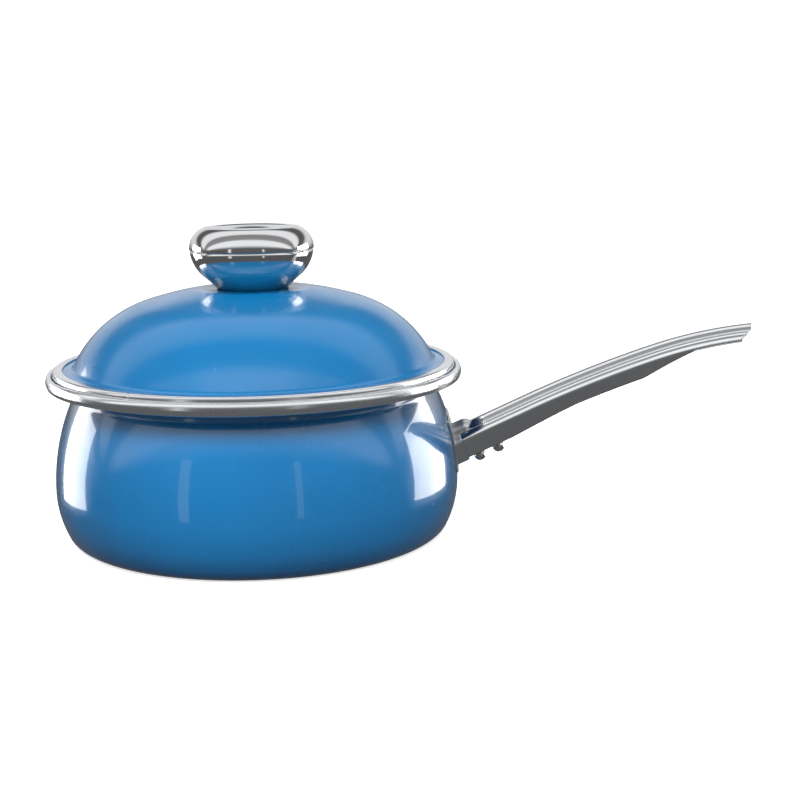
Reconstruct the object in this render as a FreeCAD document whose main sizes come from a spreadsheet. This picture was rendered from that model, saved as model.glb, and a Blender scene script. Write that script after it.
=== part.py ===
"""Enamelled saucepan with a stainless rim, a riveted channel handle and a lift-off domed lid.

Millimetres. The origin is the centre of the flat base, +Z is up and +X points along the handle.
Every piece is a separate object. Sizes live in the spreadsheet "Sizes"; each sketch dimension and
primitive is bound to it by an expression.
"""
import FreeCAD, Part
import math
import os
import Sketcher

os.makedirs("parts", exist_ok=True)
doc = FreeCAD.newDocument("saucepan")
sheet = doc.addObject("Spreadsheet::Sheet", "Sizes")


class Size:
    """A length that knows its number and the spreadsheet formula that gives it."""

    def __init__(self, value, formula=None):
        self.value = float(value)
        self.formula = formula if formula else repr(float(value))

    def __add__(self, other):
        other = as_size(other)
        return Size(self.value + other.value, f"({self.formula} + {other.formula})")

    def __radd__(self, other):
        return as_size(other) + self

    def __sub__(self, other):
        other = as_size(other)
        return Size(self.value - other.value, f"({self.formula} - {other.formula})")

    def __rsub__(self, other):
        return as_size(other) - self

    def __mul__(self, other):
        other = as_size(other)
        return Size(self.value * other.value, f"({self.formula} * {other.formula})")

    def __rmul__(self, other):
        return as_size(other) * self

    def __truediv__(self, other):
        other = as_size(other)
        return Size(self.value / other.value, f"({self.formula} / {other.formula})")

    def __neg__(self):
        return Size(-self.value, f"(0 - {self.formula})")


def as_size(number):
    """Wrap a plain number so that it can be mixed with sheet sizes."""
    return number if isinstance(number, Size) else Size(number)


def root(size):
    return Size(math.sqrt(size.value), f"sqrt({size.formula})")


def square(size):
    return size * size


def sine(angle):
    """Sine of an angle in degrees."""
    return Size(math.sin(math.radians(angle.value)), f"sin({angle.formula})")


def cosine(angle):
    """Cosine of an angle in degrees."""
    return Size(math.cos(math.radians(angle.value)), f"cos({angle.formula})")


def entry(alias, value, meaning):
    """Write one named size into the spreadsheet."""
    row = entry.next_row
    entry.next_row += 1
    sheet.set(f"A{row}", meaning)
    sheet.set(f"B{row}", str(value))
    sheet.setAlias(f"B{row}", alias)
    return Size(value, f"Sizes.{alias}")


entry.next_row = 1

# ---- sizes -------------------------------------------------------------------------------------
wall_thick = entry("wall_thick", 1.2, "enamelled sheet")
strip_thick = entry("strip_thick", 0.7, "stainless rim strip")
joint_clear = entry("joint_clear", 0.6, "radial gap between lid ring and rim")

base_corner = entry("base_corner", 8.5, "pot base corner radius")
lower_arc = entry("lower_arc", 45.5, "pot wall radius below the belly")
belly_radius = entry("belly_radius", 92.9, "widest radius of the pot wall")
belly_height = entry("belly_height", 24.6, "height of the widest point")
neck_arc = entry("neck_arc", 5, "neck fillet under the flange")

rim_over = entry("rim_over", 2.1, "rim strip beyond the belly, radially")
rim_bottom = entry("rim_bottom", 72, "height of the rim strip's lower edge")
rim_tall = entry("rim_tall", 5.5, "height of the rim strip")
rim_wide = entry("rim_wide", 2.7, "radial width of the rim strip")
rim_corner = entry("rim_corner", 1, "corner radius of both steel strips")
rim_bow = entry("rim_bow", 4.5, "bow radius of the strips' outer legs")
flange_rise = entry("flange_rise", 2, "flange underside above the strip's lower edge")
flange_gap = entry("flange_gap", 0.2, "edge of the pot's flange inside its strip")

ring_tall = entry("ring_tall", 4.6, "height of the lid's edge ring")
ring_wide = entry("ring_wide", 2.8, "radial width of the ring's foot")
ring_thick = entry("ring_thick", 0.6, "stainless strip of the lid's ring")
ring_lip = entry("ring_lip", 4.4, "radial width of the ring's top leg")
seat_inset = entry("seat_inset", 1.2, "seat inside the ring's foot")
crown_share = entry("crown_share", 1.79, "lid crown radius as a share of the rim radius")
crown_angle = entry("crown_angle", 17, "half angle of the lid crown, degrees")
shoulder_share = entry("shoulder_share", 0.568, "lid shoulder radius as a share of the rim radius")
lid_fillet = entry("lid_fillet", 3, "fillet from dome to lid flange")
rise_share = entry("rise_share", 0.3624, "rise of the dome as a share of the rim radius")
seat_radius = entry("seat_radius", 27, "flat seat under the knob")

knob_thick = entry("knob_thick", 0.8, "knob shell sheet")
knob_foot = entry("knob_foot", 16.4, "radius of the knob's foot")
knob_radius = entry("knob_radius", 28.3, "largest radius of the knob")
knob_waist = entry("knob_waist", 5.4, "height where the flare meets the band")
knob_flare = entry("knob_flare", 60, "arc of the flare above the foot")
knob_belly = entry("knob_belly", 17, "arc from the flare to the band")
waist_inset = entry("waist_inset", 6.7, "where the flare ends inside the band")
spigot_tall = entry("spigot_tall", 2, "height of the spigot and of the band below it")
spigot_gap = entry("spigot_gap", 0.25, "gap between the spigot and the cap")
knob_seam = entry("knob_seam", 17.9, "height of the seam between the shells")
knob_tall = entry("knob_tall", 27.9, "height of the knob")
edge_inset = entry("edge_inset", 8.1, "centre of the cap's edge inside the knob radius")
cap_edge = entry("cap_edge", 4.5, "edge radius of the knob cap")
dish_angle = entry("dish_angle", 25, "angle where the edge turns into the dish")
dish_flat = entry("dish_flat", 10, "flat radius in the middle of the dish")
dish_depth = entry("dish_depth", 1.6, "depth of the dish")
post_radius = entry("post_radius", 5, "knob post radius")
post_flange = entry("post_flange", 9, "radius of the post's welded flange")
screw_radius = entry("screw_radius", 2.5, "screw shank radius")
screw_head = entry("screw_head", 5, "screw head radius")
screw_head_tall = entry("screw_head_tall", 3, "screw head height")
slot_wide = entry("slot_wide", 1.2, "width of the screw's slot")
slot_deep = entry("slot_deep", 1.3, "depth of the screw's slot")
screw_engage = entry("screw_engage", 12, "length of screw inside the post")
hole_clear = entry("hole_clear", 0.2, "clearance round the screw and rivets")
washer_radius = entry("washer_radius", 8, "washer radius")
washer_thick = entry("washer_thick", 1, "washer thickness")

handle_slope = entry("handle_slope", 24.5, "slope of the handle at its root, degrees")
root_gap = entry("root_gap", 0.3, "root of the handle beyond the belly, radially")
root_rise = entry("root_rise", 20.4, "handle's deck at its root above the belly")
handle_half = entry("handle_half", 11, "half width of the handle")
handle_thick = entry("handle_thick", 1, "handle sheet")
shoulder_round = entry("shoulder_round", 4, "rounded shoulder of the handle")
rib_half = entry("rib_half", 4.6, "half width of the handle's rib")
rib_rise = entry("rib_rise", 2.5, "height of the rib over the deck")
straight_run = entry("straight_run", 34, "straight length from the root")
bow_arc = entry("bow_arc", 560, "radius of the first bow")
bow_turn = entry("bow_turn", 6.5, "turn of the first bow, degrees")
tip_arc = entry("tip_arc", 205, "radius of the bow at the tip")
tip_turn = entry("tip_turn", 13, "turn of the tip bow, degrees")
skirt_root = entry("skirt_root", 11.1, "deck to lower edge at the root")
skirt_mid = entry("skirt_mid", 9.1, "deck to lower edge along the grip")
skirt_tip = entry("skirt_tip", 3.9, "deck to lower edge at the tip")
tip_over = entry("tip_over", 1.1, "plan radius of the tip beyond the half width")

arm_thick = entry("arm_thick", 1.2, "bracket sheet")
arm_inside = entry("arm_inside", 22, "length of bracket inside the handle")
arm_outside = entry("arm_outside", 8, "length of bracket before trimming to the wall")
arm_step = entry("arm_step", 1, "bracket lower edge below the handle's")
foot_low_rise = entry("foot_low_rise", 2.8, "lower edge of the foot plate above the belly")
foot_tall = entry("foot_tall", 27.3, "height of the foot plate")
foot_angle = entry("foot_angle", 16.5, "angle the foot plate wraps round the wall")
foot_round = entry("foot_round", 5, "corner radius of the foot plate")
foot_thick = entry("foot_thick", 0.7, "foot plate sheet")
bead_radius = entry("bead_radius", 4.6, "radius of the bracket's bead")
bead_wrap = entry("bead_wrap", 220, "angle of the bead round its axis, degrees")
bead_reach = entry("bead_reach", 8, "nose of the bead from the handle's root")
notch_clear = entry("notch_clear", 0.15, "clearance round the bead in the handle")
tool_reach = entry("tool_reach", 20, "how far trimming shapes run past the part")

rivet_shank = entry("rivet_shank", 1.75, "rivet shank radius")
rivet_head = entry("rivet_head", 2.9, "rivet head radius")
rivet_dome = entry("rivet_dome", 3.2, "rivet head height")
collar_radius = entry("collar_radius", 2.5, "rivet collar radius")
collar_tall = entry("collar_tall", 2.2, "rivet collar height")
upset_tall = entry("upset_tall", 1.5, "upset end of the rivet")
rivet_rear = entry("rivet_rear", 4.8, "rear rivet from the handle's root")
rivet_front = entry("rivet_front", 14.3, "front rivet from the handle's root")
doc.recompute()

# ---- derived sizes -----------------------------------------------------------------------------
rim_radius = belly_radius + rim_over
crown_arc = rim_radius * crown_share
shoulder_arc = rim_radius * shoulder_share
lid_rise = rim_radius * rise_share
root_reach = belly_radius + root_gap
root_height = belly_height + root_rise
flange_under = rim_bottom + flange_rise
seat_height = flange_under + wall_thick
lid_flange_top = seat_height + ring_tall - ring_thick
knob_seat = lid_flange_top + lid_rise
ring_radius = rim_radius - rim_wide - joint_clear


# ---- sketch helpers ----------------------------------------------------------------------------
def plane_of(body, role):
    """Return one origin plane or axis of a body by its role."""
    return next(feature for feature in body.Origin.OriginFeatures if feature.Role == role)


def new_body(label):
    body = doc.addObject("PartDesign::Body", label)
    body.Label = label
    return body


def new_sketch(body, name, role):
    """Add a sketch lying on one of the body's own origin planes."""
    sketch = body.newObject("Sketcher::SketchObject", name)
    sketch.AttachmentSupport = [(plane_of(body, role), "")]
    sketch.MapMode = "FlatFace"
    return sketch


def arc_between(start, end, radius, turn):
    """Arc from start to end; turn is +1 counter-clockwise and -1 clockwise."""
    chord = end - start
    middle = (start + end) * 0.5
    rise = math.sqrt(max(radius ** 2 - (chord.Length / 2) ** 2, 0))
    left = FreeCAD.Vector(-chord.y, chord.x, 0).normalize()
    centre = middle + left * (turn * rise)
    first, last = (start, end) if turn > 0 else (end, start)
    circle = Part.Circle(centre, FreeCAD.Vector(0, 0, 1), radius)
    begin = math.atan2(first.y - centre.y, first.x - centre.x)
    finish = math.atan2(last.y - centre.y, last.x - centre.x)
    return Part.ArcOfCircle(circle, begin, finish)


def bind(sketch, constraint, size):
    """Add a dimension and bind it to the spreadsheet."""
    index = sketch.addConstraint(constraint)
    sketch.setExpression(f"Constraints[{index}]", size.formula)


def draw(sketch, corners, closed=True):
    """Draw a chain of lines and arcs through the corners, fully dimensioned from the origin.

    A corner is (x, y) when a line leaves it and (x, y, radius, turn) when an arc leaves it.
    """
    points = [FreeCAD.Vector(as_size(c[0]).value, as_size(c[1]).value, 0) for c in corners]
    pieces = len(corners) if closed else len(corners) - 1
    ends = []
    for index in range(pieces):
        start = points[index]
        end = points[(index + 1) % len(points)]
        if len(corners[index]) == 2:
            geometry = sketch.addGeometry(Part.LineSegment(start, end))
            ends.append((geometry, 1, 2))
            continue
        radius, turn = corners[index][2:]
        radius = as_size(radius)
        geometry = sketch.addGeometry(arc_between(start, end, radius.value, turn))
        ends.append((geometry, 1, 2) if turn > 0 else (geometry, 2, 1))
        bind(sketch, Sketcher.Constraint("Radius", geometry, radius.value), radius)
    joins = pieces if closed else pieces - 1
    for index in range(joins):
        here = ends[index]
        there = ends[(index + 1) % pieces]
        sketch.addConstraint(Sketcher.Constraint("Coincident", here[0], here[2], there[0], there[1]))
    for index, corner in enumerate(corners):
        if index < pieces:
            geometry, point = ends[index][0], ends[index][1]
        else:
            geometry, point = ends[-1][0], ends[-1][2]
        for number, kind, axis in ((corner[0], "DistanceX", -2), (corner[1], "DistanceY", -1)):
            size = as_size(number)
            if abs(size.value) < 1e-9:
                sketch.addConstraint(Sketcher.Constraint("PointOnObject", geometry, point, axis))
            else:
                bind(sketch, Sketcher.Constraint(kind, -1, 1, geometry, point, size.value), size)


def revolve(label, corners, angle=360):
    """Make a body by turning a profile drawn in radius and height about the vertical axis."""
    body = new_body(label)
    sketch = new_sketch(body, label + "_profile", "XZ_Plane")
    draw(sketch, corners)
    feature = body.newObject("PartDesign::Revolution", label + "_turned")
    feature.Profile = sketch
    feature.ReferenceAxis = (sketch, ["V_Axis"])
    if angle != 360:
        feature.Midplane = True
        feature.setExpression("Angle", angle.formula)
    sketch.Visibility = False
    return body


def prism(body, name, role, corners, half=None, cut=False):
    """Pad or pocket a closed outline the same distance both ways from an origin plane."""
    sketch = new_sketch(body, name, role)
    draw(sketch, corners)
    kind = "PartDesign::Pocket" if cut else "PartDesign::Pad"
    feature = body.newObject(kind, name + ("_cut" if cut else "_pad"))
    feature.Profile = sketch
    feature.Midplane = True
    feature.setExpression("Length", (2 * half).formula)
    sketch.Visibility = False
    return feature


def along(start, end, share):
    """Point at a share of the way from start to end."""
    return (start[0] + (end[0] - start[0]) * share, start[1] + (end[1] - start[1]) * share)


# ---- pot ---------------------------------------------------------------------------------------
lower_centre = (belly_radius - lower_arc, belly_height)
corner_centre = (
    lower_centre[0] + root(square(lower_arc - base_corner) - square(belly_height - base_corner)),
    base_corner,
)
neck_height = flange_under - neck_arc
neck_centre = (ring_radius - ring_wide - seat_inset, neck_height)
neck_step = belly_radius - neck_centre[0]
upper_arc = (
    (square(neck_step) + square(neck_height - belly_height) - square(neck_arc))
    / (2 * (neck_step + neck_arc))
)
upper_centre = (belly_radius - upper_arc, belly_height)


def wall_point(centre, other, radius, span):
    """Point at a radius from one arc's centre on the line to its neighbour's centre."""
    return along(centre, other, radius / span)


corner_span = lower_arc - base_corner
neck_span = upper_arc + neck_arc
outer_corner = wall_point(lower_centre, corner_centre, lower_arc, corner_span)
outer_neck = wall_point(upper_centre, neck_centre, upper_arc, neck_span)
inner_corner = wall_point(lower_centre, corner_centre, lower_arc - wall_thick, corner_span)
inner_neck = wall_point(upper_centre, neck_centre, upper_arc - wall_thick, neck_span)

flange_edge = rim_radius - strip_thick - flange_gap
pot_shell = revolve("pot_shell", [
    (0, 0),
    (corner_centre[0], 0, base_corner, 1),
    (*outer_corner, lower_arc, 1),
    (belly_radius, belly_height, upper_arc, 1),
    (*outer_neck, neck_arc, -1),
    (neck_centre[0], flange_under),
    (flange_edge, flange_under),
    (flange_edge, seat_height),
    (neck_centre[0], seat_height, neck_arc + wall_thick, 1),
    (*inner_neck, upper_arc - wall_thick, -1),
    (belly_radius - wall_thick, belly_height, lower_arc - wall_thick, -1),
    (*inner_corner, base_corner - wall_thick, -1),
    (corner_centre[0], wall_thick),
    (0, wall_thick),
])


def bowed_leg(outside, low, high, thick):
    """Outer and inner corners of a strip's outer leg, and where its flats meet its corners."""
    middle = (low + high) / 2
    bow_centre = (outside - rim_bow, middle)
    span = rim_bow - rim_corner
    flat_end = bow_centre[0] + root(square(span) - square(middle - low - rim_corner))
    low_centre = (flat_end, low + rim_corner)
    high_centre = (flat_end, high - rim_corner)
    inner_bow = rim_bow - thick
    outer = [
        (flat_end, low, rim_corner, 1),
        (*wall_point(bow_centre, low_centre, rim_bow, span), rim_bow, 1),
        (*wall_point(bow_centre, high_centre, rim_bow, span), rim_corner, 1),
        (flat_end, high),
    ]
    inner = [
        (flat_end, high - thick, rim_corner - thick, -1),
        (*wall_point(bow_centre, high_centre, inner_bow, span), inner_bow, -1),
        (*wall_point(bow_centre, low_centre, inner_bow, span), rim_corner - thick, -1),
        (flat_end, low + thick),
    ]
    return outer, inner, flat_end


def hem(inside, low, low_stop, thick):
    """Outer and inner corners of the hem that comes up from a strip's foot to the sheet."""
    outer = [
        (inside, low_stop),
        (inside, low + rim_corner, rim_corner, 1),
        (inside + rim_corner, low),
    ]
    inner = [
        (inside + rim_corner, low + thick, rim_corner - thick, -1),
        (inside + thick, low + rim_corner),
        (inside + thick, low_stop),
    ]
    return outer, inner


rim_inside = rim_radius - rim_wide
rim_top = rim_bottom + rim_tall
leg_outer, leg_inner, rim_flat_end = bowed_leg(rim_radius, rim_bottom, rim_top, strip_thick)
hem_outer, hem_inner = hem(rim_inside, rim_bottom, flange_under, strip_thick)
pot_rim_band = revolve("pot_rim_band", hem_outer + leg_outer + [
    (rim_inside + rim_corner, rim_top, rim_corner, 1),
    (rim_inside, rim_top - rim_corner),
    (rim_inside, seat_height),
    (rim_inside + strip_thick, seat_height),
    (rim_inside + strip_thick, rim_top - rim_corner, rim_corner - strip_thick, -1),
    (rim_inside + rim_corner, rim_top - strip_thick),
] + leg_inner + hem_inner)

# ---- lid ---------------------------------------------------------------------------------------
ring_inside = ring_radius - ring_wide
ring_top = seat_height + ring_tall
lid_flange_under = lid_flange_top - wall_thick
leg_outer, leg_inner, lid_flange_edge = bowed_leg(ring_radius, seat_height, ring_top, ring_thick)
hem_outer, hem_inner = hem(ring_inside, seat_height, lid_flange_under, ring_thick)
lid_edge_ring = revolve("lid_edge_ring", hem_outer + leg_outer + [
    (ring_radius - ring_lip, ring_top),
    (ring_radius - ring_lip, lid_flange_top),
] + leg_inner + hem_inner)

crown_height = knob_seat - root(square(crown_arc) - square(seat_radius))
crown_centre = (as_size(0), crown_height)
shoulder_centre = (
    (crown_arc - shoulder_arc) * sine(crown_angle),
    crown_height + (crown_arc - shoulder_arc) * cosine(crown_angle),
)
fillet_height = lid_flange_top + lid_fillet
fillet_centre = (
    shoulder_centre[0]
    + root(square(shoulder_arc + lid_fillet) - square(fillet_height - shoulder_centre[1])),
    fillet_height,
)
fillet_span = shoulder_arc + lid_fillet
outer_crown = (crown_arc * sine(crown_angle), crown_height + crown_arc * cosine(crown_angle))
inner_arc = crown_arc - wall_thick
inner_crown = (inner_arc * sine(crown_angle), crown_height + inner_arc * cosine(crown_angle))
outer_fillet = wall_point(shoulder_centre, fillet_centre, shoulder_arc, fillet_span)
inner_fillet = wall_point(shoulder_centre, fillet_centre, shoulder_arc - wall_thick, fillet_span)
inner_seat = root(square(inner_arc) - square(knob_seat - wall_thick - crown_height))
screw_hole = screw_radius + hole_clear

lid_dome = revolve("lid_dome", [
    (screw_hole, knob_seat - wall_thick),
    (inner_seat, knob_seat - wall_thick, inner_arc, -1),
    (*inner_crown, shoulder_arc - wall_thick, -1),
    (*inner_fillet, lid_fillet + wall_thick, 1),
    (fillet_centre[0], lid_flange_under),
    (lid_flange_edge, lid_flange_under),
    (lid_flange_edge, lid_flange_top),
    (fillet_centre[0], lid_flange_top, lid_fillet, -1),
    (*outer_fillet, shoulder_arc, 1),
    (*outer_crown, crown_arc, 1),
    (seat_radius, knob_seat),
    (screw_hole, knob_seat),
])

# ---- knob --------------------------------------------------------------------------------------
seam_height = knob_seat + knob_seam
cap_inside = knob_radius - knob_thick
spigot_radius = cap_inside - spigot_gap
base_band = knob_radius - knob_thick / 2
waist_radius = knob_radius - waist_inset
knob_base = revolve("knob_base", [
    (screw_hole, knob_seat),
    (knob_foot, knob_seat, knob_flare, -1),
    (waist_radius, knob_seat + knob_waist, knob_belly, 1),
    (base_band, seam_height - spigot_tall),
    (base_band, seam_height),
    (spigot_radius, seam_height),
    (spigot_radius, seam_height + spigot_tall),
    (spigot_radius - knob_thick, seam_height + spigot_tall),
    (spigot_radius - knob_thick, seam_height - spigot_tall, knob_belly - knob_thick, -1),
    (waist_radius - knob_thick, knob_seat + knob_waist + knob_thick / 2, knob_flare, 1),
    (knob_foot - knob_thick / 2, knob_seat + knob_thick),
    (screw_hole, knob_seat + knob_thick),
])

knob_top = knob_seat + knob_tall
edge_centre = (knob_radius - edge_inset, knob_top - cap_edge)
edge_rise = knob_tall - knob_seam - cap_edge
cap_flank = (square(edge_inset) + square(edge_rise) - square(cap_edge)) / (
    2 * (edge_inset - cap_edge)
)
flank_centre = (knob_radius - cap_flank, seam_height)
flank_span = cap_flank - cap_edge
outer_flank = wall_point(flank_centre, edge_centre, cap_flank, flank_span)
inner_flank = wall_point(flank_centre, edge_centre, cap_flank - knob_thick, flank_span)
inner_edge = cap_edge - knob_thick
dish_floor = knob_top - dish_depth


def dish_edge(radius):
    """Point where the rolled edge of the cap turns into the dish."""
    return (edge_centre[0] - radius * sine(dish_angle), edge_centre[1] + radius * cosine(dish_angle))


def dish_arc(edge, floor):
    """Radius of the arc that falls from the dish edge to its flat middle."""
    run = edge[0] - dish_flat
    drop = edge[1] - floor
    return (square(run) + square(drop)) / (2 * drop)


outer_dish = dish_edge(cap_edge)
inner_dish = dish_edge(inner_edge)
knob_cap = revolve("knob_cap", [
    (cap_inside, seam_height),
    (knob_radius, seam_height, cap_flank, 1),
    (*outer_flank, cap_edge, 1),
    (*outer_dish, dish_arc(outer_dish, dish_floor), -1),
    (dish_flat, dish_floor),
    (0, dish_floor),
    (0, dish_floor - knob_thick),
    (dish_flat, dish_floor - knob_thick, dish_arc(inner_dish, dish_floor - knob_thick), 1),
    (*inner_dish, inner_edge, -1),
    (*inner_flank, cap_flank - knob_thick, -1),
])

post_low = knob_seat + knob_thick
post_high = dish_floor - knob_thick
screw_tip = post_low + screw_engage
knob_post = revolve("knob_post", [
    (screw_radius, post_low),
    (post_radius, post_low),
    (post_radius, post_high - 2.5),
    (post_flange, post_high - 1.2),
    (post_flange, post_high),
    (0, post_high),
    (0, screw_tip + 2),
    (screw_radius, screw_tip + 1),
])

washer_top = knob_seat - wall_thick
head_top = washer_top - washer_thick
lid_washer = revolve("lid_washer", [
    (screw_hole, head_top),
    (washer_radius, head_top),
    (washer_radius, washer_top),
    (screw_hole, washer_top),
])

head_low = head_top - screw_head_tall
screw_blank = revolve("screw_blank", [
    (0, head_low),
    (screw_head - 1.5, head_low, 1.6, 1),
    (screw_head, head_low + 1.5),
    (screw_head, head_top),
    (screw_radius, head_top),
    (screw_radius, screw_tip - 0.6),
    (screw_radius - 0.6, screw_tip),
    (0, screw_tip),
])


def bound_box(name, length, width, height, centre):
    """Box primitive centred in X and Y on a point, with its bottom at that point's height."""
    box = doc.addObject("Part::Box", name)
    box.setExpression("Length", as_size(length).formula)
    box.setExpression("Width", as_size(width).formula)
    box.setExpression("Height", as_size(height).formula)
    box.setExpression("Placement.Base.x", (as_size(centre[0]) - as_size(length) / 2).formula)
    box.setExpression("Placement.Base.y", (as_size(centre[1]) - as_size(width) / 2).formula)
    box.setExpression("Placement.Base.z", as_size(centre[2]).formula)
    return box


def boolean(kind, label, shapes):
    """Fuse, cut or intersect shapes into one labelled object."""
    if kind == "Part::Cut":
        result = doc.addObject(kind, label)
        result.Base, result.Tool = shapes
    else:
        result = doc.addObject(kind, label)
        result.Shapes = shapes
    result.Label = label
    return result


slot_low = head_low - slot_deep
screw_slot = bound_box("screw_slot", 3 * screw_head, slot_wide, 2 * slot_deep, (0, 0, slot_low))
knob_screw = boolean("Part::Cut", "knob_screw", (screw_blank, screw_slot))

# ---- handle ------------------------------------------------------------------------------------
turn_one = bow_turn
turn_two = bow_turn + tip_turn
bow_end = (straight_run + bow_arc * sine(turn_one), -(bow_arc * (1 - cosine(turn_one))))
bow_centre = (straight_run, -bow_arc)
tip_centre = (bow_end[0] - tip_arc * sine(turn_one), bow_end[1] - tip_arc * cosine(turn_one))
spine_end = (tip_centre[0] + tip_arc * sine(turn_two), tip_centre[1] + tip_arc * cosine(turn_two))
spine = [(0, 0), (straight_run, 0, bow_arc, -1), (*bow_end, tip_arc, -1), spine_end]


def channel(half, corner, deck, rib_arc, rib_foot, low):
    """One side of the channel section: up a skirt, over the shoulders and rib, down the other."""
    return [
        (-half, low),
        (-half, deck - corner, corner, -1),
        (corner - half, deck),
        (-rib_foot, deck, rib_arc, -1),
        (rib_foot, deck),
        (half - corner, deck, corner, -1),
        (half, deck - corner),
        (half, low),
    ]


rib_arc = (square(rib_half) + square(rib_rise)) / (2 * rib_rise)
rib_centre = rib_rise - rib_arc
inner_rib = rib_arc - handle_thick
inner_rib_foot = root(square(inner_rib) - square(rib_centre + handle_thick))
skirt_low = -(skirt_root + 2)
outer_channel = channel(handle_half, shoulder_round, as_size(0), rib_arc, rib_half, skirt_low)
inner_channel = channel(
    handle_half - handle_thick, shoulder_round - handle_thick, -handle_thick,
    inner_rib, inner_rib_foot, skirt_low)


def reverse_corners(corners):
    """The same chain walked backwards, with each arc moved to its other end."""
    result = []
    for index in range(len(corners) - 1, -1, -1):
        point = corners[index][:2]
        before = corners[index - 1] if index else corners[0]
        arc = before[2:] if index and len(before) > 2 else ()
        result.append((*point, arc[0], -arc[1]) if arc else point)
    return result


handle_channel = new_body("handle_channel")
spine_sketch = new_sketch(handle_channel, "handle_spine", "XZ_Plane")
draw(spine_sketch, spine, closed=False)
section_sketch = new_sketch(handle_channel, "handle_section", "YZ_Plane")
draw(section_sketch, outer_channel + reverse_corners(inner_channel))
pipe = handle_channel.newObject("PartDesign::AdditivePipe", "handle_swept")
pipe.Profile = section_sketch
pipe.Spine = (spine_sketch, ["Edge1", "Edge2", "Edge3"])
spine_sketch.Visibility = False
section_sketch.Visibility = False


def below_bow(share_arc, drop, arc, centre):
    """Point a given drop under the spine where the spine has turned by an angle."""
    return (centre[0] + (arc - drop) * sine(share_arc), centre[1] + (arc - drop) * cosine(share_arc))


grip_start = below_bow(turn_one / 3, skirt_mid, bow_arc, bow_centre)
grip_end = below_bow(turn_one * 0.86, skirt_mid, bow_arc, bow_centre)
thin_start = below_bow(turn_one + tip_turn * 0.38, skirt_tip, tip_arc, tip_centre)
thin_end = below_bow(turn_two, skirt_tip, tip_arc, tip_centre)
prism(handle_channel, "skirt_trim", "XZ_Plane", [
    (-1, -skirt_root),
    (0, -skirt_root),
    (arm_inside, -skirt_root),
    grip_start,
    grip_end,
    thin_start,
    thin_end,
    (thin_end[0] + tool_reach, thin_end[1]),
    (thin_end[0] + tool_reach, thin_end[1] - tool_reach),
    (-1, thin_end[1] - tool_reach),
], half=handle_half + 1, cut=True)
prism(handle_channel, "root_floor", "XZ_Plane", [
    (0, -skirt_root),
    (0, handle_thick - skirt_root),
    (arm_inside, handle_thick - skirt_root),
    (arm_inside, -skirt_root),
], half=handle_half - handle_thick / 2)
notch_half = bead_radius + notch_clear
prism(handle_channel, "bead_notch", "XY_Plane", [
    (-1, -notch_half),
    (bead_reach - bead_radius, -notch_half, notch_half, 1),
    (bead_reach + notch_clear, 0, notch_half, 1),
    (bead_reach - bead_radius, notch_half),
    (-1, notch_half),
], half=as_size(3), cut=True)
tip_round = handle_half + tip_over
tip_flank = root(square(tip_round) - square(handle_half))
prism(handle_channel, "tip_trim", "XY_Plane", [
    (spine_end[0] - tip_round + tip_flank, -handle_half, tip_round, 1),
    (spine_end[0], 0, tip_round, 1),
    (spine_end[0] - tip_round + tip_flank, handle_half),
    (spine_end[0] - tip_round + tip_flank, handle_half + 1),
    (spine_end[0] + tool_reach, handle_half + 1),
    (spine_end[0] + tool_reach, -handle_half - 1),
    (spine_end[0] - tip_round + tip_flank, -handle_half - 1),
], half=-spine_end[1] + tool_reach, cut=True)


def drill(body, name, floor_top):
    """Drill the two rivet holes down through the floor whose top is at the given height."""
    sketch = new_sketch(body, name, "XY_Plane")
    sketch.setExpression("AttachmentOffset.Base.z", floor_top.formula)
    for reach in (rivet_rear, rivet_front):
        centre = FreeCAD.Vector(reach.value, 0, 0)
        circle = Part.Circle(centre, FreeCAD.Vector(0, 0, 1), rivet_shank.value)
        hole = sketch.addGeometry(circle)
        sketch.addConstraint(Sketcher.Constraint("PointOnObject", hole, 3, -1))
        bind(sketch, Sketcher.Constraint("DistanceX", -1, 1, hole, 3, reach.value), reach)
        bind(sketch, Sketcher.Constraint("Radius", hole, rivet_shank.value), rivet_shank)
    pocket = body.newObject("PartDesign::Pocket", name + "_cut")
    pocket.Profile = sketch
    pocket.setExpression("Length", (2 * arm_thick).formula)
    sketch.Visibility = False


drill(handle_channel, "floor_holes", handle_thick - skirt_root)


def seat_on_slope(item, reach):
    """Tilt an item to the handle's slope and carry it along from the handle's root."""
    item.Placement = FreeCAD.Placement(
        FreeCAD.Vector(0, 0, 0), FreeCAD.Rotation(FreeCAD.Vector(0, -1, 0), handle_slope.value))
    item.setExpression("Placement.Base.x", (root_reach + reach * cosine(handle_slope)).formula)
    item.setExpression("Placement.Base.z", (root_height + reach * sine(handle_slope)).formula)
    item.setExpression("Placement.Rotation.Angle", handle_slope.formula)


seat_on_slope(handle_channel, as_size(0))

# ---- rivets ------------------------------------------------------------------------------------
collar_low = -(skirt_root + collar_tall)
grip_top = handle_thick + arm_thick - skirt_root
dome_arc = (square(rivet_head) + square(rivet_dome)) / (2 * rivet_dome)
for place, reach in (("rear", rivet_rear), ("front", rivet_front)):
    rivet = revolve("rivet_" + place, [
        (0, collar_low - rivet_dome),
        (rivet_head * 0.7, collar_low - rivet_dome * 0.8),
        (rivet_head, collar_low - rivet_dome * 0.25),
        (rivet_head, collar_low),
        (rivet_shank, collar_low),
        (rivet_shank, grip_top),
        (rivet_head - 0.4, grip_top),
        (rivet_head - 0.8, grip_top + upset_tall),
        (0, grip_top + upset_tall),
    ])
    seat_on_slope(rivet, reach)
    collar = revolve("rivet_collar_" + place, [
        (rivet_shank, collar_low),
        (collar_radius, collar_low),
        (collar_radius, -skirt_root),
        (rivet_shank, -skirt_root),
    ])
    seat_on_slope(collar, reach)

# ---- bracket -----------------------------------------------------------------------------------
foot_low = belly_height + foot_low_rise
foot_high = foot_low + foot_tall


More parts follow.
